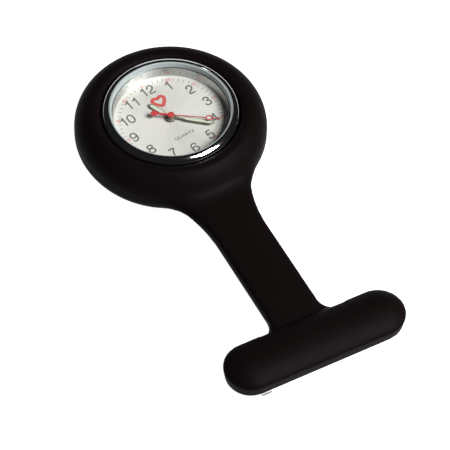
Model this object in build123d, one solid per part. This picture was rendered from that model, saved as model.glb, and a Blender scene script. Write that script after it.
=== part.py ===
from build123d import *
import os
from math import atan2, cos, degrees, pi, radians, sin

# Silicone fob watch, hung head down from a brooch pin in its T-bar and read from above.
# Millimetres. +X is the wearer's side of three o'clock, +Y runs from the T-bar to the watch,
# +Z is up through the glass. The silicone back lies on Z = 0.
os.makedirs("parts", exist_ok=True)

# ---- driving dimensions: silicone holder ----
head_radius = 20.5
watch_y = 24.15
strap_width = 11.5
flare_radius = 22.0
bar_length = 40.4
bar_width = 11.2
bar_y = -39.05
bar_root_radius = 4.0
strap_low = 2.3
strap_high = 5.5
bar_low = 2.8
strap_edge_radius = 1.1
head_equator = 4.2
head_crest = 10.0
crest_radius = 16.7
back_radius = 18.2
lip_radius = 14.9
lip_height = 9.5
bar_edge_height = 6.4
bar_top = 8.4
case_gap = 0.05
case_lift = 1.4

# ---- driving dimensions: watch case, radii and heights about the dial's centre, before case_lift ----
dial_turn = 6.4
back_height = 0.9
band_radius = 15.2
band_inner = 13.1
bezel_crest_radius = 13.25
bezel_height = 9.25
glass_seat = 7.8
glass_top = 9.0
glass_radius = 12.55
glass_gasket_radius = 12.9
glass_ledge = 12.35
back_opening = 13.5
back_step = 2.0
dial_radius = 12.6
dial_low = 5.15
dial_high = 5.55
rehaut_inner = 12.1

# ---- driving dimensions: movement ----
movement_radius = 10.6
plate_low = 3.95
plate_high = 5.1
recess_floor = 4.5
bridge_low = 2.05
bridge_high = 2.55
arbor_radius = 0.12
pivot_radius = 0.09
running_gap = 0.03
seconds_arbor_radius = 0.15
centre_pipe_radius = 0.28
cannon_radius = 0.40
hour_pipe_radius = 0.75
stem_height = 3.3
stem_radius = 0.45
lever_pivot = (9.0, 2.2)
lever_pin = (8.5, 0.0)
battery_place = (-2.4, -6.5)
battery_radius = 3.4
battery_low = 2.05
battery_high = 4.5
coil_x = -7.9
coil_height = 2.75

# Wheel levels, lowest and highest face of each toothed rim.
level_a = (2.70, 2.90)
level_b = (3.05, 3.25)
level_c = (3.40, 3.60)
level_d = (3.72, 3.90)
level_e = (4.55, 4.75)
level_f = (4.82, 5.02)

# Time shown: 11:22:21, as clock angles from twelve.
hour_angle = 341.2
minute_angle = 134.15
seconds_angle = 129.0
hour_hand_low = 5.95
minute_hand_low = 6.36
seconds_hand_low = 6.9
hand_thickness = 0.15

# ---- driving dimensions: brooch pin under the T-bar ----
pin_height = 1.75
hinge_x = 12.2
catch_x = -13.0
catch_width = 3.1
needle_radius = 0.4
rivet_radius = 0.35
barrel_radius = 1.32
tab_reach = 4.4
plate_size = (31.0, 5.6, 0.8)
slot_size = (29.8, 4.6)

upright = (Align.CENTER, Align.CENTER, Align.MIN)


def disc(radius, low, high, at=(0, 0)):
    return Pos(at[0], at[1], low) * Cylinder(radius, high - low, align=upright)


def tube(outer, inner, low, high, at=(0, 0)):
    return disc(outer, low, high, at) - disc(inner, low - 1, high + 1, at)


def block(x, y, z):
    """A box from pairs of lowest and highest coordinates."""
    size = (x[1] - x[0], y[1] - y[0], z[1] - z[0])
    return Pos(x[0], y[0], z[0]) * Box(*size, align=(Align.MIN, Align.MIN, Align.MIN))


def turned(*outline):
    """A solid of revolution from edges or points given as (radius, height)."""
    if isinstance(outline[0], tuple):
        outline = Polyline(*outline, close=True).edges()
    return revolve(Plane.XZ * make_face(outline), Axis.Z)


def polar(radius, angle):
    return (radius * cos(radians(angle)), radius * sin(radians(angle)))


def around(centre, radius, angle):
    x, y = polar(radius, angle)
    return (centre[0] + x, centre[1] + y)


def total(shapes):
    """The union of a list of solids."""
    joined = shapes[0]
    for shape in shapes[1:]:
        joined = joined + shape
    return joined


def save(name, shape):
    export_step(shape, "parts/" + name + ".step")


def save_watch(name, shape):
    """Watch pieces are drawn about the dial's centre with twelve along +Y, then put in place."""
    save(name, Pos(0, watch_y, case_lift) * Rot(0, 0, dial_turn) * shape)


# ---------------------------------------------------------------- silicone holder
def head_ring():
    """Rounded collar that grips the case, open at the back, with an undercut lip on top."""
    high_middle = (crest_radius + 0.707 * (head_radius - crest_radius),
                   head_equator + 0.707 * (head_crest - head_equator))
    low_middle = (back_radius + 0.707 * (head_radius - back_radius),
                  head_equator - 0.707 * head_equator)
    pocket = band_radius + case_gap
    floor = case_lift + back_height - case_gap
    inner = [(lip_radius, lip_height), (band_radius - 0.22, case_lift + 7.75), (pocket, case_lift + 7.0),
             (pocket, floor + 1.3), (13.97, floor), (12.8, floor), (12.8, 0.0), (back_radius, 0.0)]
    edges = [
        ThreePointArc((back_radius, 0), low_middle, (head_radius, head_equator)),
        ThreePointArc((head_radius, head_equator), high_middle, (crest_radius, head_crest)),
        ThreePointArc((crest_radius, head_crest), (15.75, head_crest - 0.1), (lip_radius, lip_height)),
    ]
    edges += Polyline(*inner).edges()
    return Pos(0, watch_y, 0) * turned(*edges)


def strap_outline():
    """Plan of the strap: it flares into the head and has a small radius where it meets the bar."""
    half = strap_width / 2
    centre_x = half + flare_radius
    reach = head_radius + flare_radius
    centre_y = watch_y - (reach ** 2 - centre_x ** 2) ** 0.5
    flare_end = 180 - degrees(atan2(watch_y - centre_y, centre_x))
    root_y = bar_y + bar_width / 2 + bar_root_radius
    root_x = half + bar_root_radius
    flare = CenterArc((centre_x, centre_y), flare_radius, 180, flare_end - 180)
    root = CenterArc((root_x, root_y), bar_root_radius, 270, -90)
    right = [
        Line((0, bar_y), (root_x, bar_y)),
        Line((root_x, bar_y), root @ 0),
        root,
        Line(root @ 1, flare @ 0),
        flare,
        Line(flare @ 1, (0, watch_y)),
        Line((0, watch_y), (0, bar_y)),
    ]
    side = make_face(right)
    return side + mirror(side, Plane.YZ)


def strap_body():
    plate = Pos(0, 0, strap_low) * extrude(strap_outline(), strap_high - strap_low)
    faces = plate.faces().sort_by(Axis.Z)
    rims = faces[0].edges() + faces[-1].edges()
    sides = [e for e in rims if abs(e.center().X) > 1 and e.center().Y > bar_y + bar_width / 2 + 0.2]
    return fillet([e for e in sides if e.center().Y < watch_y - head_radius * 0.6], strap_edge_radius)


def bar_body():
    """Stadium bar: slanted side wall, a clear edge line and a domed top."""
    half = bar_width / 2
    dome = ThreePointArc((half, bar_edge_height), (0, bar_top), (-half, bar_edge_height))
    wall = Polyline((-half, bar_edge_height), (-half + 0.45, 3.4), (-half + 1.0, bar_low),
                    (half - 1.0, bar_low), (half - 0.45, 3.4), (half, bar_edge_height))
    section = make_face([dome] + wall.edges())
    straight = bar_length - bar_width
    middle = Pos(-straight / 2, 0, 0) * extrude(Plane.YZ * section, straight)
    half_dome = dome.trim(0, 0.5)
    end = revolve(Plane.XZ * make_face([half_dome, Line((0, bar_top), (0, bar_low)),
                                        Polyline((0, bar_low), (half - 1.0, bar_low),
                                                 (half - 0.45, 3.4), (half, bar_edge_height))]), Axis.Z)
    bar = middle + Pos(straight / 2, 0, 0) * end + Pos(-straight / 2, 0, 0) * end
    return Pos(0, bar_y, 0) * bar


def silicone_holder():
    strap = strap_body() - disc(head_radius - 2.0, 0, 10, (0, watch_y))
    holder = head_ring() + strap + bar_body()
    crown_notch = block((14.0, 18.7), (-2.0, 2.0), (-1, case_lift + 5.0))
    holder -= Pos(0, watch_y, 0) * Rot(0, 0, dial_turn) * crown_notch
    # Pocket and mouth for the brooch's base plate.
    length, width, thickness = plate_size
    pocket = Box(length + 2 * case_gap, width + 2 * case_gap, thickness + 2 * case_gap)
    holder -= Pos(0, bar_y, 3.7 + pocket.bounding_box().size.Z / 2) * pocket
    mouth = extrude(RectangleRounded(*slot_size, 0.8), 2)
    return holder - Pos(0, bar_y, 1.8) * mouth


save("silicone_holder", silicone_holder())


# ---------------------------------------------------------------- brooch pin
def along_bar(shape):
    """Moves a brooch piece drawn about X = 0, Y = 0 to the bar."""
    return Pos(0, bar_y, 0) * shape


def crosswise(radius, y, x, z):
    """A cylinder along Y between two values of y."""
    return Pos(x, y[1], z) * Rot(90, 0, 0) * Cylinder(radius, y[1] - y[0], align=upright)


def lengthwise(radius, x, z, y=0):
    """A cylinder along X between two values of x."""
    return Pos(x[0], y, z) * Rot(0, 90, 0) * Cylinder(radius, x[1] - x[0], align=upright)


def pin_base_plate():
    length, width, thickness = plate_size
    low = 3.75
    plate = Pos(0, 0, low) * extrude(RectangleRounded(length, width, 0.9), thickness)
    for side in (-1, 1):
        y = sorted((side * 0.65, side * 1.15))
        ear = crosswise(1.0, y, hinge_x, pin_height)
        ear += block((hinge_x - 1.0, hinge_x + 1.0), y, (pin_height, low))
        plate += ear - crosswise(rivet_radius, (-2, 2), hinge_x, pin_height)
    return plate


def hinge_rivet():
    rivet = crosswise(rivet_radius, (-1.17, 1.17), hinge_x, pin_height)
    for y in ((-1.42, -1.17), (1.17, 1.42)):
        rivet += crosswise(0.6, y, hinge_x, pin_height)
    return rivet


def pin_needle():
    tip_x = catch_x - 0.9
    eye = crosswise(0.85, (-0.6, 0.6), hinge_x, pin_height)
    shank = lengthwise(needle_radius, (tip_x + 3.0, hinge_x - 0.5), pin_height)
    point = Pos(tip_x, 0, pin_height) * Rot(0, 90, 0) * Cone(0.06, needle_radius, 3.0, align=upright)
    bore = crosswise(rivet_radius + running_gap, (-1, 1), hinge_x, pin_height)
    return eye + shank + point - bore


def catch_housing():
    """C-shaped shell and two cheeks, open downwards for the needle and to the side for the tab."""
    half = catch_width / 2
    cheek = 0.5
    x = (catch_x - half, catch_x + half)
    inner = (x[0] + cheek, x[1] - cheek)
    shell = lengthwise(1.65, x, pin_height)
    shell -= lengthwise(barrel_radius + running_gap, inner, pin_height)
    # Window for the tab's swing, from sideways round to straight down.
    window = block(inner, (-3, 0.6), (-1, pin_height + 0.5)) - block(inner, (0.6, 3), (-1, 5))
    shell -= window
    shell -= lengthwise(0.6, (x[0] - 1, x[1] + 1), pin_height)
    shell -= block((x[0] - 1, x[1] + 1), (-0.6, 0.6), (-1, pin_height))
    foot = block(x, (-0.9, 0.9), (pin_height + 1.4, 3.75))
    return shell + foot


def safety_catch():
    """Turning barrel with a through slot for the needle and a ribbed finger tab."""
    half = catch_width / 2 - 0.5 - running_gap
    x = (catch_x - half, catch_x + half)
    barrel = lengthwise(barrel_radius, x, 0)
    tab = block(x, (-tab_reach, -1.0), (-0.3, 0.3))
    for n in range(4):
        tab += lengthwise(0.14, x, 0.3, -tab_reach + 0.35 + 0.55 * n)
    tab = Rot(9, 0, 0) * tab
    catch = barrel + tab
    catch -= lengthwise(0.6, (x[0] - 1, x[1] + 1), 0)
    catch -= block((x[0] - 1, x[1] + 1), (-0.6, 0.6), (-5, 0))
    return Pos(0, 0, pin_height) * catch


save("pin_base_plate", along_bar(pin_base_plate()))
save("hinge_rivet", along_bar(hinge_rivet()))
save("pin_needle", along_bar(pin_needle()))
save("catch_housing", along_bar(catch_housing()))
save("safety_catch", along_bar(safety_catch()))


# ---------------------------------------------------------------- case, crown and glass
def along_stem(shape):
    """Stem pieces are drawn upright, their height being the distance from the dial's centre."""
    return Pos(0, 0, stem_height) * Rot(0, 90, 0) * shape


def case_band():
    bevel = (glass_gasket_radius, glass_top + 0.05)
    crest = (bezel_crest_radius, bezel_height)
    shoulder = (14.8, 7.6)
    bezel = ThreePointArc(shoulder, (14.3, 8.7), crest)
    rest = [crest, bevel, (glass_gasket_radius, glass_seat), (glass_ledge, glass_seat),
            (glass_ledge, 7.3), (band_inner, 7.3), (band_inner, back_step),
            (back_opening, back_step), (back_opening, back_height), (13.9, back_height),
            (band_radius, 2.2), (band_radius, 7.0), shoulder]
    band = turned(*([bezel] + Polyline(*rest).edges()))
    return band - along_stem(disc(0.9, 12, 16))


def case_back():
    plate = disc(back_opening - 0.08, back_height, 1.5)
    rim = tube(12.95, 12.3, 1.4, 2.3)
    pry_notch = Pos(*polar(back_opening, -60), back_height) * Rot(0, 0, -60) * Box(0.7, 2.4, 0.4)
    return plate + rim - pry_notch


def crown():
    flutes = gear(24, 0.122, 15.25, 17.4, 0)
    cap = disc(1.38, 17.0, 17.62)
    return along_stem(flutes + cap - disc(1.0, 15, 15.95) - disc(stem_radius, 15, 16.9))


def crown_stem():
    stem = disc(stem_radius, 6.0, 16.9) - tube(1, 0.28, 8.1, 8.9)
    return along_stem(stem)


def clutch_wheel():
    """Ratchet-toothed sleeve on the stem's inner end."""
    body = tube(0.72, stem_radius, 6.5, 7.3)
    return along_stem(body + gear(12, 0.125, 6.4, 6.75, 0) - disc(stem_radius, 6, 8))


def gear(teeth, module, low, high, phase):
    """Straight-sided teeth; phase is the angle of one tooth's middle, in radians."""
    pitch = teeth * module / 2
    root = pitch - 1.2 * module
    tip = pitch + 0.9 * module
    step = 2 * pi / teeth
    points = []
    for n in range(teeth):
        for radius, share in ((root, -0.32), (tip, -0.13), (tip, 0.13), (root, 0.32)):
            angle = phase + (n + share) * step
            points.append((radius * cos(angle), radius * sin(angle)))
    return Pos(0, 0, low) * extrude(make_face(Polyline(*points, close=True)), high - low)


save_watch("case_band", case_band())
save_watch("case_back", case_back())
save_watch("case_back_gasket", tube(13.45, 12.97, 1.52, 1.98))
save_watch("crystal", turned((0, glass_seat), (glass_radius, glass_seat), (glass_radius, glass_top - 0.25),
                             (glass_radius - 0.25, glass_top), (0, glass_top)))
save_watch("crystal_gasket", tube(glass_gasket_radius, glass_radius, glass_seat, glass_top))
save_watch("rehaut_ring", turned((rehaut_inner, 5.57), (13.05, 5.57), (13.05, 7.28),
                                 (rehaut_inner + 0.25, 7.28)))
save_watch("crown_tube", along_stem(tube(0.9, 0.62, 13.0, 15.9)))
save_watch("crown", crown())
save_watch("crown_stem", crown_stem())
save_watch("stem_gasket", along_stem(tube(0.60, stem_radius + 0.02, 13.9, 14.4)))
save_watch("clutch_wheel", clutch_wheel())


# ---------------------------------------------------------------- movement: plate, bridge, battery
centre = (0, 0)
third_place = polar(3.4, 60)
intermediate_place = polar(3.3, 165)
rotor_place = around(intermediate_place, 2.8, 150)
minute_place = (2.88, 0)
setting_place = (6.24, 0)
bridge_posts = [(4.6, -2.6), (-2.6, 5.6), (-5.6, -2.2)]
clamp_angle = degrees(atan2(-battery_place[0], battery_place[1]))
clamp_posts = [around(battery_place, side * 4.3, clamp_angle) for side in (-1, 1)]
board_posts = [polar(8.7, 32), polar(8.7, 100)]
dial_feet = [(-7.0, 6.5), (7.0, -6.5)]
pivots = [third_place, intermediate_place, rotor_place]
screw_radius = 0.3


def main_plate():
    plate = disc(movement_radius, plate_low, plate_high)
    for place, radius in ((centre, 2.75), (minute_place, 2.5), (setting_place, 1.6)):
        plate -= disc(radius, recess_floor, plate_high + 1, place)
    for place in (minute_place, setting_place):
        plate += disc(0.25, recess_floor - 0.1, 5.06, place)
    plate -= disc(centre_pipe_radius + running_gap, 3, 5)
    for place in pivots:
        plate -= disc(pivot_radius + running_gap, 3.9, 4.25, place)
    plate -= disc(battery_radius + 0.1, 3.9, battery_high + 0.1, battery_place)
    plate -= block((5.2, 11), (-1.1, 1.1), (3.9, 4.3))
    for place in dial_feet:
        plate -= disc(0.35, 4.6, 6, place)
    for place in bridge_posts:
        plate += disc(0.7, bridge_high, plate_low + 0.1, place)
        plate -= disc(screw_radius, 2, 3.3, place)
    for place in clamp_posts:
        plate += disc(0.6, 2.03, plate_low + 0.1, place)
        plate -= disc(screw_radius, 1, 3.1, place)
    for place in board_posts:
        plate += disc(0.6, 3.75, plate_low + 0.1, place)
        plate -= disc(screw_radius, 3, 4.5, place)
    return plate + disc(0.25, 3.75, 4.0, lever_pivot)


def train_bridge():
    corners = bridge_posts + [third_place, rotor_place]
    plan = make_hull([(Pos(*place) * Circle(1.0)).edge() for place in corners])
    bridge = Pos(0, 0, bridge_low) * extrude(plan, bridge_high - bridge_low)
    bridge -= disc(battery_radius + 0.15, 1, 5, battery_place)
    for place in bridge_posts:
        bridge -= disc(screw_radius, 1, 3, place)
    for place in pivots + [centre]:
        bridge -= disc(pivot_radius + running_gap, 1, 3, place)
    return bridge


def screw(place, under_head, end):
    """A slotted cheese-head screw pointing up, its head below under_head."""
    body = disc(0.55, under_head - 0.25, under_head, place) + disc(screw_radius, under_head, end, place)
    slot = Pos(place[0], place[1], under_head - 0.25) * Rot(0, 0, 20 * place[0]) * Box(1.3, 0.16, 0.2)
    return body - slot


def movement_screws():
    screws = [screw(place, bridge_low, 3.2) for place in bridge_posts]
    screws += [screw(place, 1.85, 3.0) for place in clamp_posts]
    screws += [screw(place, 3.55, 4.4) for place in board_posts]
    return total(screws)


def battery():
    """Button cell, its can downwards and the stepped terminal upwards."""
    can = disc(battery_radius, battery_low, 4.1, battery_place)
    return can + disc(battery_radius - 0.5, 4.1, battery_high, battery_place)


def battery_clamp():
    bar = Rot(0, 0, clamp_angle) * Box(9.9, 1.5, 0.18)
    bar = Pos(battery_place[0], battery_place[1], 1.85 + 0.09) * bar
    for place in clamp_posts:
        bar -= disc(screw_radius, 1, 3, place)
    return bar


def circuit_board():
    outer, inner = 10.4, 6.95
    start, end = 25, 105
    edges = [CenterArc(centre, outer, start, end - start), CenterArc(centre, inner, start, end - start)]
    edges += [Line(polar(inner, start), polar(outer, start)), Line(polar(inner, end), polar(outer, end))]
    board = Pos(0, 0, 3.55) * extrude(make_face(edges), 0.2)
    for place in board_posts:
        board -= disc(screw_radius, 3, 5, place)
    return board


def quartz_crystal():
    can = Cylinder(0.55, 3.2)
    return Pos(*polar(8.7, 82), 2.97) * Rot(0, 0, 82) * Rot(90, 0, 0) * can


def ic_chip():
    return Pos(*polar(8.5, 55), 3.28) * Rot(0, 0, 55) * Box(1.9, 1.9, 0.5)


def coil_core():
    bar = block((coil_x - 0.3, coil_x + 0.3), (-2.0, 5.0), (coil_height - 0.25, coil_height + 0.25))
    for y in ((-2.0, -1.4), (4.4, 5.0)):
        bar += block((coil_x - 0.45, coil_x + 0.45), y, (coil_height - 0.25, 3.45))
    return bar


def coil():
    winding = crosswise(0.65, (-1.35, 4.35), coil_x, coil_height)
    return winding - block((coil_x - 0.3, coil_x + 0.3), (-3, 6), (coil_height - 0.25, coil_height + 0.25))


def stator():
    plan = make_hull([(Pos(*rotor_place) * Circle(1.65)).edge(), (Pos(coil_x, -1.7) * Circle(0.45)).edge(),
                      (Pos(coil_x, 4.7) * Circle(0.45)).edge()])
    plate = Pos(0, 0, 3.45) * extrude(plan, 0.4)
    return plate - disc(1.15, 3, 5, rotor_place)


def movement_ring():
    ring = tube(12.9, movement_radius + 0.1, 2.35, plate_high)
    return ring - along_stem(disc(0.6, 9, 14))


save_watch("movement_ring", movement_ring())
save_watch("main_plate", main_plate())
save_watch("train_bridge", train_bridge())
save_watch("movement_screws", movement_screws())
save_watch("battery", battery())
save_watch("battery_clamp", battery_clamp())
save_watch("battery_contact", disc(1.5, battery_high + 0.01, battery_high + 0.09, battery_place))
save_watch("circuit_board", circuit_board())
save_watch("quartz_crystal", quartz_crystal())
save_watch("ic_chip", ic_chip())
save_watch("coil_core", coil_core())
save_watch("coil", coil())
save_watch("stator", stator())


# ---------------------------------------------------------------- movement: wheels
def mesh_phase(place_a, teeth_a, phase_a, place_b, teeth_b):
    """Phase that puts a gap of wheel B opposite a tooth of wheel A."""
    towards = atan2(place_b[1] - place_a[1], place_b[0] - place_a[0])
    tooth_count = (towards - phase_a) * teeth_a / (2 * pi)
    return towards + pi - (2 * pi / teeth_b) * (0.5 - tooth_count)


def wheel(teeth, module, level, phase, holes=5):
    """A thin toothed wheel with round lightening holes."""
    pitch = teeth * module / 2
    body = gear(teeth, module, *level, phase)
    for n in range(holes):
        at = polar(pitch * 0.56, 360 * n / holes + 20)
        body -= disc(pitch * 0.2, level[0] - 1, level[1] + 1, at)
    return body


def arbor(low_pivot, high_pivot, low, high):
    """Plain shaft with a thin pivot at each end."""
    return disc(pivot_radius, low_pivot, high_pivot) + disc(arbor_radius, low, high)


def third_wheel():
    phase_d = mesh_phase(centre, 64, 0, third_place, 8)
    body = wheel(60, 0.10, level_c, 0) + gear(8, 6.8 / 72, level_d[0] - 0.04, level_d[1] + 0.02, phase_d)
    body += arbor(2.2, 4.2, 2.6, 3.93)
    return Pos(*third_place) * body


def seconds_phase():
    return mesh_phase(third_place, 60, 0, centre, 8)


def seconds_wheel():
    body = wheel(50, 0.11, level_b, 0) + gear(8, 0.10, level_c[0] - 0.04, level_c[1] + 0.05, seconds_phase())
    body += disc(seconds_arbor_radius, 2.6, seconds_hand_low + 0.12)
    return body + disc(pivot_radius, 2.2, 3)


def intermediate_wheel():
    phase_b = mesh_phase(centre, 50, 0, intermediate_place, 10)
    body = wheel(60, 0.08, level_a, 0) + gear(10, 0.11, level_b[0] - 0.04, level_b[1] + 0.04, phase_b)
    return Pos(*intermediate_place) * (body + arbor(2.2, 4.2, 2.6, 3.93))


def rotor():
    phase_a = mesh_phase(intermediate_place, 60, 0, rotor_place, 10)
    body = gear(10, 0.08, level_a[0] - 0.04, level_a[1] + 0.04, phase_a) + arbor(2.2, 4.2, 2.6, 3.93)
    return Pos(*rotor_place) * body


def rotor_magnet():
    return tube(0.9, arbor_radius, 3.45, 3.85, rotor_place)


def centre_wheel():
    body = wheel(64, 6.8 / 72, level_d, 0)
    body += disc(centre_pipe_radius, level_d[0], 6.6)
    return body - disc(seconds_arbor_radius + running_gap, 3, 8)


def cannon_pinion():
    body = gear(12, 0.12, *level_e, 0) + disc(cannon_radius, level_e[0], 6.55)
    return body - disc(centre_pipe_radius, 3, 8)


def minute_wheel_phase():
    return mesh_phase(centre, 12, 0, minute_place, 36)


def minute_wheel():
    body = wheel(36, 0.12, level_e, minute_wheel_phase(), 4)
    body += gear(10, 0.1152, level_e[1], level_f[1], 0)
    return Pos(*minute_place) * (body - disc(0.28, 4, 6))


def hour_wheel():
    phase = mesh_phase(minute_place, 10, 0, centre, 40)
    body = wheel(40, 0.1152, level_f, phase, 4) + disc(hour_pipe_radius, level_f[0], 6.2)
    return body - disc(cannon_radius + running_gap, 4, 8)


def setting_wheel():
    phase = mesh_phase(minute_place, 36, minute_wheel_phase(), setting_place, 20)
    return Pos(*setting_place) * (gear(20, 0.12, *level_e, phase) - disc(0.28, 4, 6))


def setting_lever():
    """Rocks with the stem: its pin stands in the stem's groove."""
    plan = make_hull([(Pos(*lever_pivot) * Circle(0.6)).edge(), (Pos(*lever_pin) * Circle(0.4)).edge()])
    tail = make_hull([(Pos(*lever_pivot) * Circle(0.5)).edge(),
                      (Pos(lever_pivot[0] - 1.5, lever_pivot[1] + 0.4) * Circle(0.25)).edge()])
    lever = Pos(0, 0, 3.77) * (extrude(plan, 0.15) + extrude(tail, 0.15))
    return lever + disc(0.2, 3.61, 3.8, lever_pin) - disc(0.28, 3, 5, lever_pivot)


save_watch("third_wheel", third_wheel())
save_watch("seconds_wheel", seconds_wheel())
save_watch("intermediate_wheel", intermediate_wheel())
save_watch("rotor", rotor())
save_watch("rotor_magnet", rotor_magnet())
save_watch("centre_wheel", centre_wheel())
save_watch("cannon_pinion", cannon_pinion())
save_watch("minute_wheel", minute_wheel())
save_watch("hour_wheel", hour_wheel())
save_watch("setting_wheel", setting_wheel())
save_watch("setting_lever", setting_lever())


# ---------------------------------------------------------------- dial and hands
def dial():
    plate = disc(dial_radius, dial_low, dial_high) - disc(0.95, 4, 7)
    for place in dial_feet:
        plate += disc(0.35, 4.62, dial_low + 0.1, place)
    return plate


def baton(length, neck, waist, shoulder, width, tip):
    """Half outline of a hand along +Y mirrored to a full face: slim neck, then a wide baton."""
    half = [(0, 0), (neck / 2, 0), (neck / 2, waist), (width / 2, shoulder),
            (width / 2, length - tip), (0.1, length), (0, length)]
    side = make_face(Polyline(*half, close=True))
    return side + mirror(side, Plane.YZ)


def hand(length, waist, shoulder, width, low, boss, bore):
    """Frame of a hand with a through window; returns the frame and the window's filling."""
    rim = 0.15
    plan = baton(length, 0.46, waist, shoulder, width, 0.7)
    window = baton(length - 0.35, 0.16, waist + 0.1, shoulder + 0.05, width - 2 * rim, 0.6)
    window = window & (Pos(0, length / 2 + waist * 0.75) * Rectangle(3, length))
    frame = Pos(0, 0, low) * extrude(plan - window, hand_thickness)
    frame += disc(boss, low, low + hand_thickness)
    filling = Pos(0, 0, low + 0.02) * extrude(window, hand_thickness - 0.02)
    frame -= disc(bore, low - 1, low + 1)
    return frame, filling


def clockwise(shape, angle):
    return Rot(0, 0, -angle) * shape


def seconds_hand():
    """Thin hand with an open ring near the tip and a disc on its tail."""
    low = seconds_hand_low
    ring_y = 8.06
    plan = Pos(0, (10.5 - 3.0) / 2) * Rectangle(0.17, 13.5) + Pos(0, -1.8) * Rectangle(0.5, 3.0)
    plan += Pos(0, -3.6) * Circle(0.72) + Pos(0, ring_y) * Circle(0.7)
    plan -= Pos(0, ring_y) * Circle(0.47)
    body = Pos(0, 0, low) * extrude(plan, 0.12) + disc(0.74, low - 0.08, low + 0.16)
    return body - disc(seconds_arbor_radius, low - 1, low + 0.12)


hour_frame, hour_filling = hand(5.9, 1.5, 2.4, 1.1, hour_hand_low, 1.1, hour_pipe_radius)
minute_frame, minute_filling = hand(9.3, 2.3, 3.5, 1.0, minute_hand_low, 0.85, cannon_radius)
save_watch("dial", dial())
save_watch("hour_hand", clockwise(hour_frame, hour_angle))
save_watch("hour_hand_lume", clockwise(hour_filling, hour_angle))
save_watch("minute_hand", clockwise(minute_frame, minute_angle))
save_watch("minute_hand_lume", clockwise(minute_filling, minute_angle))
save_watch("seconds_hand", clockwise(seconds_hand(), seconds_angle))
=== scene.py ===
import bpy
import math
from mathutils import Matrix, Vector


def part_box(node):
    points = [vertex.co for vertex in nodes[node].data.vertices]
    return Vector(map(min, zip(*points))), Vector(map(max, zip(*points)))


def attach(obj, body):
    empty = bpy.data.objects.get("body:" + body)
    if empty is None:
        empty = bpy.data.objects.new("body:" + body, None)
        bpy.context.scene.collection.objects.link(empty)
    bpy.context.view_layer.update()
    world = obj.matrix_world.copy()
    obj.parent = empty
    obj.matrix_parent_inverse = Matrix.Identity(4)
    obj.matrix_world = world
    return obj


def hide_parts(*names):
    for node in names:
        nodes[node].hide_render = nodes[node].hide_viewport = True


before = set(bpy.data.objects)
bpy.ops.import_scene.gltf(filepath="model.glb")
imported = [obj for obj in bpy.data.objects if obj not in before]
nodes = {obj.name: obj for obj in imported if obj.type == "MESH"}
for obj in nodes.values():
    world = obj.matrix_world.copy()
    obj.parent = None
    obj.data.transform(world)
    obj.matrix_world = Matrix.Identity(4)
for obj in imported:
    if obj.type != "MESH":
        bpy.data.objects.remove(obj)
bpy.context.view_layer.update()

mm = 0.001
mergeGap = 2e-6  # metres, vertices nearer than this become one
creaseAngle = math.radians(35)  # edges sharper than this stay crisp
bpy.ops.object.select_all(action="DESELECT")

# where the watch sits: its centre and its dial come from the frame
glassLow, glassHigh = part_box("crystal")
watchX, watchY = (glassLow.x + glassHigh.x) / 2, (glassLow.y + glassHigh.y) / 2
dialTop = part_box("dial")[1].z
watchTurn = math.radians(6.4)  # the watch stands turned in its holder


def clockPlace(radius, clockAngle):
    # a place on the dial, radius in mm and degrees clockwise from twelve
    angle = math.pi / 2 + watchTurn - math.radians(clockAngle)
    return watchX + radius * mm * math.cos(angle), watchY + radius * mm * math.sin(angle)


# camera
cameraSettings = {
    "place": (-0.16110, -0.28155, 0.41965), "turn": (37.553, -1.546, -27.846),
    "lens": 202.74, "sensor": 36, "clip": (0.01, 20),
}


def makeCamera(s):
    bpy.ops.object.camera_add(location=s["place"], rotation=[math.radians(a) for a in s["turn"]])
    camera = bpy.context.object
    camera.data.lens = s["lens"]
    camera.data.sensor_width = s["sensor"]
    camera.data.clip_start, camera.data.clip_end = s["clip"]
    bpy.context.scene.camera = camera


makeCamera(cameraSettings)
print("camera placed")

# tools for modelling


def takeOnly(piece):
    # operators act on all that is selected, so each starts from one piece
    if bpy.context.mode != "OBJECT":
        bpy.ops.object.mode_set(mode="OBJECT")
    bpy.ops.object.select_all(action="DESELECT")
    piece.select_set(True)
    bpy.context.view_layer.objects.active = piece


def settle(piece):
    # place, turn and size go into the mesh, then the shading follows the edges
    takeOnly(piece)
    bpy.ops.object.transform_apply(location=True, rotation=True, scale=True)
    bpy.ops.object.shade_smooth_by_angle(angle=creaseAngle)
    return piece


def closeShell(piece):
    # merges doubled vertices, then turns the faces outwards
    takeOnly(piece)
    bpy.ops.object.mode_set(mode="EDIT")
    bpy.ops.mesh.select_all(action="SELECT")
    bpy.ops.mesh.remove_doubles(threshold=mergeGap)
    bpy.ops.mesh.normals_make_consistent(inside=False)
    bpy.ops.object.mode_set(mode="OBJECT")


def applyModifier(piece, kind, **settings):
    takeOnly(piece)
    modifier = piece.modifiers.new(kind.title(), kind)
    for key, value in settings.items():
        setattr(modifier, key, value)
    bpy.ops.object.modifier_apply(modifier=modifier.name)


def cutAway(piece, tool):
    # takes the tool's shape out of the piece and clears the tool away
    applyModifier(piece, "BOOLEAN", operation="DIFFERENCE", solver="EXACT", object=tool)
    bpy.data.objects.remove(tool, do_unlink=True)


def relax(piece, chosen, rounds):
    # smooths the vertices that chosen(x, y, z) picks
    takeOnly(piece)
    bpy.ops.object.mode_set(mode="EDIT")
    bpy.ops.mesh.select_mode(type="VERT")
    bpy.ops.mesh.select_all(action="DESELECT")
    bpy.ops.object.mode_set(mode="OBJECT")
    for vertex in piece.data.vertices:
        vertex.select = chosen(*vertex.co)
    bpy.ops.object.mode_set(mode="EDIT")
    bpy.ops.mesh.vertices_smooth(factor=0.5, repeat=rounds)
    bpy.ops.object.mode_set(mode="OBJECT")


def handOver(piece, name, body, material, replaced=()):
    # names a finished piece, gives it its material and tells the frame what it is
    piece.name = name
    piece.data.name = name
    piece.data.materials.clear()
    piece.data.materials.append(material)
    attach(piece, body)
    if replaced:
        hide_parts(*replaced)
    return piece


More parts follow.
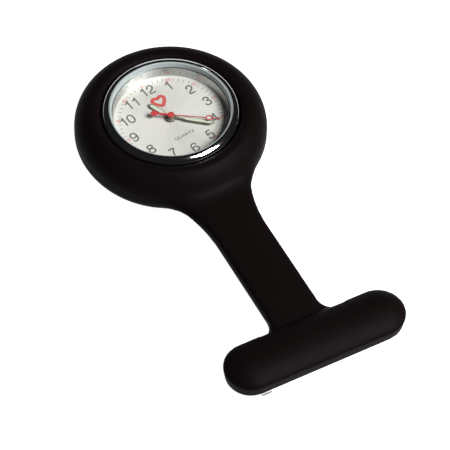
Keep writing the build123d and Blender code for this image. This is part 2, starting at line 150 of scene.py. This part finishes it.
def turnRing(steps, segments=192):
    # a circle is extruded and resized through (radius, height) steps in mm, and back to the first
    radius, height = steps[0]
    centre = (watchX, watchY, height * mm)
    bpy.ops.mesh.primitive_circle_add(vertices=segments, radius=radius * mm, location=centre)
    piece = bpy.context.object
    bpy.ops.object.mode_set(mode="EDIT")
    bpy.ops.mesh.select_all(action="SELECT")
    for newRadius, newHeight in steps[1:] + steps[:1]:
        bpy.ops.mesh.extrude_region_move(TRANSFORM_OT_translate={"value": (0, 0, (newHeight - height) * mm)})
        grow = newRadius / radius
        bpy.ops.transform.resize(value=(grow, grow, 1), center_override=(watchX, watchY, newHeight * mm))
        radius, height = newRadius, newHeight
    bpy.ops.object.mode_set(mode="OBJECT")
    closeShell(piece)
    return settle(piece)


def arcSteps(start, middle, end, count):
    # (radius, height) steps on the arc through three points, both ends included
    (ax, ay), (bx, by), (cx, cy) = start, middle, end
    a, b, c = ax**2 + ay**2, bx**2 + by**2, cx**2 + cy**2
    double = 2 * (ax * (by - cy) + bx * (cy - ay) + cx * (ay - by))
    midX = (a * (by - cy) + b * (cy - ay) + c * (ay - by)) / double
    midY = (a * (cx - bx) + b * (ax - cx) + c * (bx - ax)) / double
    size = math.hypot(ax - midX, ay - midY)
    first, last = math.atan2(ay - midY, ax - midX), math.atan2(cy - midY, cx - midX)
    angles = [first + (last - first) * n / count for n in range(count + 1)]
    return [(midX + size * math.cos(angle), midY + size * math.sin(angle)) for angle in angles]


# tools for materials


class Wire:
    # an output socket that takes arithmetic, each operator adds its Math node
    def __init__(self, finish, socket):
        self.finish, self.socket = finish, socket

    def maths(self, operation, first, second):
        return self.finish.node("ShaderNodeMath", {"operation": operation}, {0: first, 1: second})

    def __add__(self, other):
        return self.maths("ADD", self, other)

    def __radd__(self, other):
        return self.maths("ADD", other, self)

    def __sub__(self, other):
        return self.maths("SUBTRACT", self, other)

    def __rsub__(self, other):
        return self.maths("SUBTRACT", other, self)

    def __mul__(self, other):
        return self.maths("MULTIPLY", self, other)

    def __rmul__(self, other):
        return self.maths("MULTIPLY", other, self)

    def __gt__(self, other):
        return self.maths("GREATER_THAN", self, other)

    def __lt__(self, other):
        return self.maths("LESS_THAN", self, other)


class Finish:
    # a material under construction
    def __init__(self, name):
        self.material = bpy.data.materials.new(name)
        self.material.use_nodes = True
        self.tree = self.material.node_tree
        self.tree.nodes.clear()

    def node(self, kind, settings=None, inputs=None, output=0):
        # any node: its settings first, then the values or links of its sockets
        made = self.tree.nodes.new(kind)
        for key, value in (settings or {}).items():
            setattr(made, key, value)
        for key, value in (inputs or {}).items():
            if isinstance(value, Wire):
                self.tree.links.new(made.inputs[key], value.socket)
            else:
                made.inputs[key].default_value = value
        return Wire(self, made.outputs[output])

    def place(self, centre=(0, 0, 0), turn=0.0, stretch=(1, 1, 1)):
        # Object coordinates moved to a centre, turned about Z and stretched
        here = self.node("ShaderNodeTexCoord", output="Object")
        moved = self.node("ShaderNodeVectorMath", {"operation": "SUBTRACT"}, {0: here, 1: centre})
        return self.node("ShaderNodeMapping", None,
                         {"Vector": moved, "Rotation": (0, 0, turn), "Scale": stretch})

    def noise(self, where, scale, detail=3.0, roughness=0.55):
        return self.node("ShaderNodeTexNoise", None,
                         {"Vector": where, "Scale": scale, "Detail": detail, "Roughness": roughness})

    def blend(self, factor, first, second):
        # a colour between two colours
        return self.node("ShaderNodeMix", {"data_type": "RGBA"},
                         {0: factor, 6: asColour(first), 7: asColour(second)}, output=2)

    def bump(self, height, strength, distance):
        return self.node("ShaderNodeBump", None,
                         {"Strength": strength, "Distance": distance, "Height": height})

    def surface(self, **values):
        # the Principled shader, names written with _ for spaces
        inputs = {key.replace("_", " "): value for key, value in values.items()}
        return self.node("ShaderNodeBsdfPrincipled", None, inputs)

    def close(self, shader):
        out = self.tree.nodes.new("ShaderNodeOutputMaterial")
        self.tree.links.new(out.inputs["Surface"], shader.socket)
        return self.material


def asColour(value):
    # red, green and blue get their fourth number, and a link passes
    return value if isinstance(value, Wire) or len(value) == 4 else (*value, 1)


watchCentre = (watchX, watchY, dialTop)
siliconeSettings = {
    "dark": (0.0022, 0.0012, 0.0013), "light": (0.0036, 0.0023, 0.0025), "cloudScale": 90,
    "roughness": 0.46, "cloudRoughness": 0.10, "specular": 0.02, "ior": 1.42,
    "grainScale": 5200, "grainHeight": 0.00002,
    # lint: small round specks, only where the sparse noise is high
    "dust": (0.022, 0.020, 0.017), "dustScale": 330, "dustSize": 0.075, "dustRoughness": 0.2,
    "sparseScale": 160, "sparseness": 0.66,
}


def makeSilicone(s):
    f = Finish("blackSilicone")
    here = f.place()
    cloud = f.noise(here, s["cloudScale"], 4)
    grain = f.noise(here, s["grainScale"], 2)
    motes = f.node("ShaderNodeTexVoronoi", None, {"Vector": here, "Scale": s["dustScale"], "Randomness": 1})
    sparse = f.noise(here, s["sparseScale"], 1)
    dust = (motes < s["dustSize"]) * (sparse > s["sparseness"])
    colour = f.blend(dust, f.blend(cloud, s["dark"], s["light"]), s["dust"])
    return f.close(f.surface(
        Base_Color=colour, Roughness=s["roughness"] + cloud * s["cloudRoughness"] + dust * s["dustRoughness"],
        Normal=f.bump(grain, 0.25, s["grainHeight"]), Specular_IOR_Level=s["specular"], IOR=s["ior"]))


def makeSteel(name, colour, roughness, uneven, stretch=(1, 1, 1), scale=900):
    # polished or brushed metal with fine scratches and a little uneven tarnish
    s = {"tarnish": 0.06, "cloudScale": 130, "scratchDepth": 0.000002}
    f = Finish(name)
    here = f.place(watchCentre, 0.0, stretch)
    cloud = f.noise(f.place(), s["cloudScale"], 3)
    scratches = f.noise(here, scale, 4, 0.7)
    darker = tuple(c * (1 - s["tarnish"]) for c in colour)
    return f.close(f.surface(
        Base_Color=f.blend(cloud, darker, colour), Metallic=1.0,
        Roughness=roughness + scratches * uneven + cloud * uneven,
        Normal=f.bump(scratches, 0.3, s["scratchDepth"])))


def makeBrushedBack():
    # a spun steel lid, its grain runs round the centre
    s = {"dark": (0.50, 0.50, 0.50), "light": (0.66, 0.66, 0.65), "ringScale": 5000, "ringDepth": 0.000012,
         "roughness": 0.24, "ringRoughness": 0.16}
    f = Finish("spunSteel")
    here = f.place(watchCentre)
    flat = f.node("ShaderNodeVectorMath", {"operation": "MULTIPLY"}, {0: here, 1: (1, 1, 0)})
    apart = f.node("ShaderNodeVectorMath", {"operation": "LENGTH"}, {0: flat}, output=1)
    rings = f.node("ShaderNodeTexNoise", {"noise_dimensions": "1D"},
                   {"W": apart, "Scale": s["ringScale"], "Detail": 3})
    cloud = f.noise(here, 160, 3)
    return f.close(f.surface(
        Base_Color=f.blend(cloud, s["dark"], s["light"]), Metallic=1.0,
        Roughness=s["roughness"] + rings * s["ringRoughness"], Normal=f.bump(rings, 0.35, s["ringDepth"])))


dialSettings = {
    "dark": (0.53, 0.52, 0.495), "light": (0.68, 0.67, 0.645), "metallic": 0.35,
    "roughness": 0.28, "grooveRoughness": 0.12, "grooveScale": 75, "grooveDepth": 0.00008, "paintedStreakScale": 3.2,
    # how much each part says in the colour, from dark at 0 to light at 1; the fan and streak parts are
    # painted highlight
    "paintedFanShare": 0.5, "paintedStreakShare": 0.9, "grooveShare": 0.2, "darken": 0.3,
}


def makeDialSilver(s):
    # silver dial with a sunburst: fine grooves run out from the centre, and its bright fan and streak shapes
    # are painted highlight in the colour
    f = Finish("sunburstDial")
    here = f.place(watchCentre, -watchTurn)
    flat = f.node("ShaderNodeVectorMath", {"operation": "MULTIPLY"}, {0: here, 1: (1, 1, 0)})
    outwards = f.node("ShaderNodeVectorMath", {"operation": "NORMALIZE"}, {0: flat})
    grooves = f.noise(outwards, s["grooveScale"], 4, 0.7)
    # painted reflection: broad bright and dark streaks round the centre stand for the sunburst's sheen
    paintedStreaks = f.noise(outwards, s["paintedStreakScale"], 3, 0.5)
    along = f.node("ShaderNodeSeparateXYZ", None, {"Vector": outwards})
    paintedFans = along * along  # painted highlight: brightest towards three and nine
    mix = paintedFans * s["paintedFanShare"] + paintedStreaks * s["paintedStreakShare"] + grooves * s["grooveShare"] - s["darken"]
    return f.close(f.surface(
        Base_Color=f.blend(mix, s["dark"], s["light"]), Metallic=s["metallic"],
        Roughness=s["roughness"] + grooves * s["grooveRoughness"],
        Normal=f.bump(grooves, 0.6, s["grooveDepth"])))


def makePaint(name, colour, roughness, scale=1500, spread=0.15, bumpSize=0.000004, metallic=0.0):
    # ink, lacquer, plastic and rubber: a little uneven in colour and gloss
    f = Finish(name)
    cloud = f.noise(f.place(), scale, 3)
    darker = tuple(c * (1 - spread) for c in colour)
    return f.close(f.surface(
        Base_Color=f.blend(cloud, darker, colour), Metallic=metallic, Roughness=roughness + cloud * 0.1,
        Normal=f.bump(cloud, 0.2, bumpSize)))


def makeGlass():
    # clear crystal: what is behind shows through, and its skin mirrors by Fresnel
    s = {"ior": 1.45, "shine": 0.8, "clear": (0.985, 0.992, 0.988, 1), "roughness": 0.03, "smear": 0.03}
    f = Finish("clearCrystal")
    smear = f.noise(f.place(), 200, 3)
    gloss = f.node("ShaderNodeBsdfGlossy", None,
                   {"Color": (1, 1, 1, 1), "Roughness": s["roughness"] + smear * s["smear"]})
    clear = f.node("ShaderNodeBsdfTransparent", None, {"Color": s["clear"]})
    inside = f.node("ShaderNodeNewGeometry", output="Backfacing")
    # the index is turned over on the way out, so that both faces mirror alike
    edge = f.node("ShaderNodeFresnel", None, {"IOR": s["ior"] - inside * (s["ior"] - 1 / s["ior"])})
    return f.close(f.node("ShaderNodeMixShader", None, {0: edge * s["shine"], 1: clear, 2: gloss}))


def makeCoil():
    # fine enamelled wire wound round the coil's core
    s = {"dark": (0.30, 0.09, 0.03), "light": (0.62, 0.24, 0.10), "turnScale": 3200, "turnDepth": 0.00002}
    f = Finish("coilWire")
    turns = f.node("ShaderNodeTexWave", {"wave_type": "BANDS", "bands_direction": "Y"},
                   {"Vector": f.place(watchCentre, -watchTurn), "Scale": s["turnScale"], "Distortion": 0.4,
                    "Detail": 1}, output=1)
    return f.close(f.surface(
        Base_Color=f.blend(turns, s["dark"], s["light"]), Metallic=0.85, Roughness=0.3 + turns * 0.15,
        Normal=f.bump(turns, 0.5, s["turnDepth"])))


def makeBoard():
    # green solder mask with paler copper runs under it
    s = {"dark": (0.01, 0.10, 0.04), "light": (0.015, 0.14, 0.06), "run": (0.05, 0.30, 0.10), "runScale": 420,
         "runDepth": 0.00001}
    f = Finish("circuitGreen")
    here = f.place(watchCentre, -watchTurn)
    runs = f.node("ShaderNodeTexBrick", None,
                  {"Vector": here, "Scale": s["runScale"], "Mortar Size": 0.04, "Color1": (0, 0, 0, 1),
                   "Color2": (0, 0, 0, 1), "Mortar": (1, 1, 1, 1)}, output=1)
    cloud = f.noise(here, 900, 2)
    return f.close(f.surface(
        Base_Color=f.blend(runs, f.blend(cloud, s["dark"], s["light"]), s["run"]),
        Roughness=0.35 + cloud * 0.1, Normal=f.bump(runs, 0.3, s["runDepth"])))


# one finish for each material slot; metals are colour, roughness and how uneven it is
finishes = {
    "silicone": makeSilicone(siliconeSettings),
    "bezel_steel": makeSteel("bezelPolish", (0.74, 0.75, 0.77), 0.04, 0.025),
    "back_steel": makeBrushedBack(),
    "crown_steel": makeSteel("crownPolish", (0.72, 0.72, 0.73), 0.12, 0.05),
    "stem_steel": makeSteel("turnedSteel", (0.58, 0.58, 0.60), 0.22, 0.10),
    "rehaut_mirror": makeSteel("mirrorWall", (0.44, 0.45, 0.45), 0.20, 0.05),
    "watch_glass": makeGlass(),
    "gasket_rubber": makePaint("blackGasket", (0.02, 0.02, 0.02), 0.6),
    "glass_gasket": makePaint("paleSeal", (0.26, 0.29, 0.30), 0.45, spread=0.10),
    "dial_silver": makeDialSilver(dialSettings),
    "hand_grey": makePaint("handEnamel", (0.14, 0.145, 0.118), 0.3, metallic=0.3),
    "hand_lume": makePaint("lumePaste", (0.40, 0.425, 0.35), 0.7, scale=4000, spread=0.10, bumpSize=0.00001),
    "hand_red": makePaint("redLacquer", (0.37, 0.036, 0.038), 0.35),
    "plate_nickel": makeSteel("nickelPlate", (0.62, 0.60, 0.55), 0.26, 0.10, stretch=(1, 12, 1), scale=500),
    "wheel_brass": makeSteel("gearBrass", (0.72, 0.52, 0.24), 0.22, 0.10, scale=1600),
    "holder_plastic": makePaint("ringPlastic", (0.62, 0.60, 0.55), 0.45),
    "battery_steel": makeSteel("cellSteel", (0.70, 0.70, 0.69), 0.20, 0.12),
    "board_green": makeBoard(),
    "chip_black": makePaint("chipResin", (0.012, 0.012, 0.013), 0.5,
                            scale=3000, spread=0.3, bumpSize=0.00001),
    "coil_copper": makeCoil(),
    "magnet_dark": makeSteel("magnetGrey", (0.24, 0.24, 0.25), 0.35, 0.15),
    "pin_steel": makeSteel("pinPlating", (0.40, 0.39, 0.385), 0.26, 0.12, stretch=(6, 1, 1), scale=700),
}
inkGrey = makePaint("numeralInk", (0.105, 0.105, 0.095), 0.5, scale=2500, spread=0.2)
inkBlack = makePaint("tickInk", (0.035, 0.035, 0.033), 0.5, scale=2500, spread=0.2)
inkRed = makePaint("redInk", (0.40, 0.060, 0.058), 0.45, scale=2500, spread=0.12)
# a CAD node's material is named after its slot
for node in nodes.values():
    for place in node.material_slots:
        place.material = finishes[place.material.name]
print("materials made")

# silicone holder: the moulded skin
skinSettings = {
    "voxel": 0.34, "smoothing": 0.5, "rounds": 7,
    # where the strap runs into the head: each pass has its outer radius, half width and rounds of smoothing
    "headBlend": {"inner": 17.4, "below": 0.5, "reach": 8.0,
                  "passes": [(30.0, 16.5, 6), (29.0, 15.0, 8), (28.0, 13.5, 12), (27.0, 12.0, 16),
                             (26.0, 11.0, 22), (25.0, 10.0, 30), (24.0, 9.0, 40)]},
    # where the strap meets the bar
    "barBlend": {"near": 3.4, "far": 9.5, "below": 4.2, "half": 10.0, "rounds": 16},
    # room for the crown at three o'clock, open to the back
    "crownNotch": {"near": 14.0, "far": 18.7, "width": 4.0, "bottom": -1.0, "top": 6.4},
}


def makeSkin(s):
    # the moulding is remeshed and softened, and its creases are relaxed
    skin = bpy.data.objects.new("siliconeSkin", nodes["silicone_holder"].data.copy())
    bpy.context.scene.collection.objects.link(skin)
    takeOnly(skin)
    bpy.ops.object.mode_set(mode="EDIT")
    bpy.ops.mesh.select_all(action="SELECT")
    bpy.ops.mesh.remove_doubles(threshold=mergeGap)
    bpy.ops.object.mode_set(mode="OBJECT")
    bpy.ops.mesh.customdata_custom_splitnormals_clear()
    applyModifier(skin, "REMESH", mode="VOXEL", voxel_size=s["voxel"] * mm, adaptivity=0)
    applyModifier(skin, "SMOOTH", factor=s["smoothing"], iterations=s["rounds"])
    head, bar, notch = s["headBlend"], s["barBlend"], s["crownNotch"]
    plateLow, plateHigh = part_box("pin_base_plate")
    barY = (plateLow.y + plateHigh.y) / 2

    def nearHead(outer, half):
        def chosen(x, y, z):
            apart = math.hypot(x - watchX, y - watchY) / mm
            return (head["inner"] < apart < outer and y < watchY - head["reach"] * mm
                    and abs(x) < half * mm and z > head["below"] * mm)
        return chosen

    def nearBar(x, y, z):
        return (bar["near"] * mm < y - barY < bar["far"] * mm
                and abs(x) < bar["half"] * mm and z > bar["below"] * mm)

    for outer, half, rounds in head["passes"]:
        relax(skin, nearHead(outer, half), rounds)
    relax(skin, nearBar, bar["rounds"])
    # the notch is cut last, so that it keeps its size
    middle = clockPlace((notch["near"] + notch["far"]) / 2, 90)
    bpy.ops.mesh.primitive_cube_add(
        size=mm, location=(*middle, (notch["bottom"] + notch["top"]) / 2 * mm), rotation=(0, 0, watchTurn),
        scale=(notch["far"] - notch["near"], notch["width"], notch["top"] - notch["bottom"]))
    cutAway(skin, bpy.context.object)
    settle(skin)
    return handOver(skin, "siliconeSkin", "holder", finishes["silicone"], ("silicone_holder",))


skin = makeSkin(skinSettings)
print("silicone skin made, faces:", len(skin.data.polygons))

# case, glass and the ring under it
caseSettings = {
    # (radius, height) in mm: the bezel's outer slope is an arc through the first three
    "shoulder": (14.80, 9.00), "side": (14.30, 10.10), "crest": (13.32, 10.64), "arcParts": 14,
    "crestRound": [(13.24, 10.65), (13.16, 10.635), (13.05, 10.42)],
    "glassSeat": [(13.01, 10.30), (13.01, 9.20), (12.50, 9.20), (12.50, 8.70)],
    "bore": [(13.10, 8.70), (13.10, 3.40), (13.50, 3.40), (13.50, 2.30)],
    "outside": [(13.90, 2.30), (15.10, 3.45), (15.20, 3.65), (15.20, 8.30), (15.10, 8.55)],
    "segments": 240, "stemHole": 0.91, "stemHoleAt": 14.5, "stemHoleLength": 5,
}


def makeCase(s):
    steps = arcSteps(s["shoulder"], s["side"], s["crest"], s["arcParts"])
    for part in ("crestRound", "glassSeat", "bore", "outside"):
        steps += s[part]
    ring = turnRing(steps, s["segments"])
    # the stem's hole at three o'clock
    tubeLow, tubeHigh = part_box("crown_tube")
    bpy.ops.mesh.primitive_cylinder_add(
        vertices=48, radius=s["stemHole"] * mm, depth=s["stemHoleLength"] * mm,
        location=(*clockPlace(s["stemHoleAt"], 90), (tubeLow.z + tubeHigh.z) / 2),
        rotation=(0, math.pi / 2, watchTurn))
    cutAway(ring, bpy.context.object)
    settle(ring)
    handOver(ring, "caseRing", "holder", finishes["bezel_steel"], ("case_band",))


glassSettings = {
    # (radius, height) in mm: the crystal, the seal in the rim round it and the mirror wall under it
    "crystal": [(0.01, 9.20), (12.54, 9.20), (12.54, 9.90), (12.78, 10.38), (12.75, 10.42), (0.01, 10.42)],
    "seal": [(12.56, 9.22), (12.99, 9.22), (12.99, 10.38), (12.81, 10.38), (12.56, 9.90)],
    "wall": [(12.10, 6.98), (13.04, 6.98), (13.04, 8.67), (12.47, 8.67), (12.47, 9.17), (12.37, 9.17)],
    "wallSegments": 240,
}


def makeGlassPieces(s):
    glass = turnRing(s["crystal"])
    handOver(glass, "crystalGlass", "holder", finishes["watch_glass"], ("crystal",))
    seal = turnRing(s["seal"])
    handOver(seal, "glassSeal", "holder", finishes["glass_gasket"], ("crystal_gasket",))
    wall = turnRing(s["wall"], s["wallSegments"])
    handOver(wall, "mirrorRing", "holder", finishes["rehaut_mirror"], ("rehaut_ring",))


makeCase(caseSettings)
makeGlassPieces(glassSettings)
print("case and glass made")

# dial printing
# digits are drawn as strokes on a field one unit high, centred on x = 0
digitStrokes = {
    "0": [[(0.0, 0.935), (0.17, 0.82), (0.235, 0.5), (0.17, 0.18), (0.0, 0.065), (-0.17, 0.18),
           (-0.235, 0.5), (-0.17, 0.82), (0.0, 0.935)]],
    "1": [[(0.09, 0.99), (0.09, 0.01)], [(-0.17, 0.735), (0.01, 0.79), (0.085, 0.96)]],
    "2": [[(-0.225, 0.64), (-0.17, 0.85), (0.0, 0.935), (0.17, 0.86), (0.215, 0.68), (0.10, 0.47),
           (-0.13, 0.28), (-0.235, 0.075)],
          [(-0.235, 0.065), (0.245, 0.065)]],
    "3": [[(-0.215, 0.70), (-0.15, 0.87), (0.0, 0.935), (0.15, 0.87), (0.195, 0.72), (0.12, 0.57),
           (-0.04, 0.53)],
          [(-0.04, 0.53), (0.14, 0.50), (0.235, 0.30), (0.16, 0.12), (0.0, 0.065), (-0.16, 0.12),
           (-0.24, 0.30)]],
    "4": [[(0.11, 0.01), (0.11, 0.94)], [(0.10, 0.92), (-0.255, 0.27)], [(-0.26, 0.25), (0.27, 0.25)]],
    "5": [[(0.20, 0.935), (-0.14, 0.935)],
          [(-0.14, 0.93), (-0.205, 0.46)],
          [(-0.20, 0.47), (0.0, 0.61), (0.18, 0.52), (0.235, 0.32), (0.16, 0.12), (0.0, 0.065),
           (-0.16, 0.12), (-0.235, 0.25)]],
    "6": [[(0.205, 0.73), (0.15, 0.88), (0.02, 0.935), (-0.15, 0.84), (-0.235, 0.52), (-0.225, 0.29),
           (-0.13, 0.10), (0.02, 0.065), (0.17, 0.14), (0.23, 0.32), (0.17, 0.50), (0.02, 0.575),
           (-0.14, 0.51), (-0.225, 0.36)]],
    "7": [[(-0.235, 0.935), (0.235, 0.935)], [(0.235, 0.92), (0.03, 0.55), (-0.08, 0.01)]],
    "8": [[(0.0, 0.935), (0.15, 0.87), (0.19, 0.74), (0.13, 0.60), (0.0, 0.545), (-0.13, 0.60),
           (-0.19, 0.74), (-0.15, 0.87), (0.0, 0.935)],
          [(0.0, 0.535), (0.17, 0.46), (0.235, 0.30), (0.17, 0.12), (0.0, 0.065), (-0.17, 0.12),
           (-0.235, 0.30), (-0.17, 0.46), (0.0, 0.535)]],
}
digitStrokes["9"] = [[(-x, 1 - y) for x, y in digitStrokes["6"][0]]]  # a six turned half round
printSettings = {
    "numeralRadius": 9.24, "numeralHeight": 2.50, "numeralStroke": 0.36,
    "digitPitch": 0.73, "digitWiden": 1.14,  # both as shares of the height
    "tickInner": 10.50, "tickOuter": 11.30, "tickStroke": 0.11,
    "secondsRadius": 10.92, "secondsHeight": 0.86, "secondsStroke": 0.12,
    "inkThickness": 0.02, "bendParts": 5,
}


def inkStrokes(name, strokes, width, ink):
    # strokes are lists of (x, y) in mm from the dial's centre, twelve up; each becomes a flat line of ink
    bpy.ops.curve.primitive_bezier_curve_add(location=(0, 0, 0))
    piece = bpy.context.object
    piece.data.splines.clear()
    for stroke in strokes:
        line = piece.data.splines.new("BEZIER")
        line.bezier_points.add(len(stroke) - 1)
        for point, (x, y) in zip(line.bezier_points, stroke):
            point.co = (x * mm, y * mm, 0)
            point.handle_left_type = point.handle_right_type = "VECTOR" if len(stroke) == 2 else "AUTO"
        line.resolution_u = 1 if len(stroke) == 2 else printSettings["bendParts"]
    piece.data.bevel_depth = width * mm / 2
    piece.data.bevel_resolution = 1
    piece.data.use_fill_caps = True
    takeOnly(piece)
    bpy.ops.object.convert(target="MESH")
    piece = bpy.context.object
    piece.scale.z = printSettings["inkThickness"] / (width / 2)
    piece.rotation_euler.z = watchTurn
    piece.location = (watchX, watchY, dialTop)
    closeShell(piece)
    settle(piece)
    handOver(piece, name, "holder", ink)


def numberStrokes(text, x, y, height):
    # the strokes of a whole number, its middle at x, y
    strokes = []
    pitch, wide = height * printSettings["digitPitch"], height * printSettings["digitWiden"]
    for n, digit in enumerate(text):
        centre = x + (n - (len(text) - 1) / 2) * pitch
        strokes += [[(centre + px * wide, y + (py - 0.5) * height) for px, py in stroke]
                    for stroke in digitStrokes[digit]]
    return strokes


def onDial(radius, clockAngle):
    # the same place as clockPlace gives, in mm from the dial's centre with twelve up
    return radius * math.sin(math.radians(clockAngle)), radius * math.cos(math.radians(clockAngle))


def printDial(s):
    hours, seconds, ticks = [], [], []
    for hour in range(1, 13):
        x, y = onDial(s["numeralRadius"], hour * 30)
        hours += numberStrokes(str(hour), x, y, s["numeralHeight"])
        x, y = onDial(s["secondsRadius"], hour * 30)
        seconds += numberStrokes("%02d" % (hour * 5), x, y, s["secondsHeight"])
    for tick in range(60):
        if tick % 5:
            ticks.append([onDial(s["tickInner"], tick * 6), onDial(s["tickOuter"], tick * 6)])
    inkStrokes("hourNumerals", hours, s["numeralStroke"], inkGrey)
    inkStrokes("secondsNumerals", seconds, s["secondsStroke"], inkRed)
    inkStrokes("minuteTicks", ticks, s["tickStroke"], inkBlack)


printDial(printSettings)
markSettings = {"height": 5.20, "aside": 0.62, "width": 2.9, "tall": 2.8, "stroke": 0.80}


def printHeart(s):
    # an open heart, its right half drawn and mirrored
    right = [(0.0, 0.30), (0.13, 0.44), (0.30, 0.47), (0.45, 0.36), (0.47, 0.18), (0.36, -0.06),
             (0.18, -0.27), (0.0, -0.47)]
    both = [right, [(-x, y) for x, y in right]]
    strokes = [[(s["aside"] + x * s["width"], s["height"] + y * s["tall"]) for x, y in side] for side in both]
    inkStrokes("heartMark", strokes, s["stroke"], inkRed)


printHeart(markSettings)
wordSettings = {"below": 5.27, "length": 4.85, "height": 0.80, "ink": 0.01, "extrude": 0.02, "bolder": 0.012}


def printWord(s):
    # the plain word for the movement's kind
    bpy.ops.object.text_add(location=(0, 0, 0))
    word = bpy.context.object
    word.data.body = "QUARTZ"
    word.data.align_x, word.data.align_y = "CENTER", "CENTER"
    word.data.extrude = s["extrude"]
    word.data.offset = s["bolder"]
    takeOnly(word)
    bpy.ops.object.convert(target="MESH")
    word = bpy.context.object
    size = word.dimensions.copy()
    word.scale = (s["length"] * mm / size.x, s["height"] * mm / size.y, s["ink"] * mm / size.z)
    word.rotation_euler.z = watchTurn
    word.location = (*clockPlace(s["below"], 180), dialTop + s["ink"] * mm / 2)
    closeShell(word)
    settle(word)
    handOver(word, "dialWord", "holder", inkGrey)


printWord(wordSettings)
print("dial printed")

# floor and lights
floorSettings = {"size": 4, "dark": (0.28, 0.28, 0.28), "light": (0.30, 0.30, 0.30), "glow": 1.0}


def makeFloor(s):
    # pale paper that gives off a little light of its own, so that it stays white
    bpy.ops.mesh.primitive_grid_add(x_subdivisions=4, y_subdivisions=4, size=s["size"], location=(0, 0, 0))
    floor = bpy.context.object
    floor.name = "studioFloor"
    f = Finish("paperWhite")
    cloud = f.noise(f.place(), 3, 2)
    floor.data.materials.append(f.close(f.surface(
        Base_Color=f.blend(cloud, s["dark"], s["light"]), Roughness=0.9, Specular_IOR_Level=0.0,
        Emission_Color=(1, 1, 1, 1), Emission_Strength=s["glow"])))
    settle(floor)


lampSettings = {
    "softKey": {"place": (0.38, -0.45, 0.76), "aim": (0, 0, 0), "size": 0.42, "watts": 25.5,
                "colour": (1.0, 0.99, 0.97)},
    "backWall": {"place": (0.45, 0.95, 0.12), "aim": (0, 0, 0.01), "size": 0.40, "watts": 0.30,
                 "colour": (0.92, 0.97, 1.0)},
}


def makeLamps(lamps):
    for name, s in lamps.items():
        bpy.ops.object.light_add(type="AREA", location=s["place"])
        lamp = bpy.context.object
        lamp.name = name
        lamp.data.size = s["size"]
        lamp.data.energy = s["watts"]
        lamp.data.color = s["colour"]
        lamp.rotation_euler = (Vector(s["place"]) - Vector(s["aim"])).to_track_quat("Z", "Y").to_euler()


roomSettings = {"colour": (0.95, 0.97, 1.0, 1), "strength": 0.015}


def makeRoom(s):
    world = bpy.data.worlds.new("studioRoom")
    bpy.context.scene.world = world
    world.use_nodes = True
    back = world.node_tree.nodes["Background"]
    back.inputs["Color"].default_value = s["colour"]
    back.inputs["Strength"].default_value = s["strength"]
    bpy.context.scene.view_settings.view_transform = "Standard"


makeFloor(floorSettings)
makeLamps(lampSettings)
makeRoom(roomSettings)
print("floor and lights made")
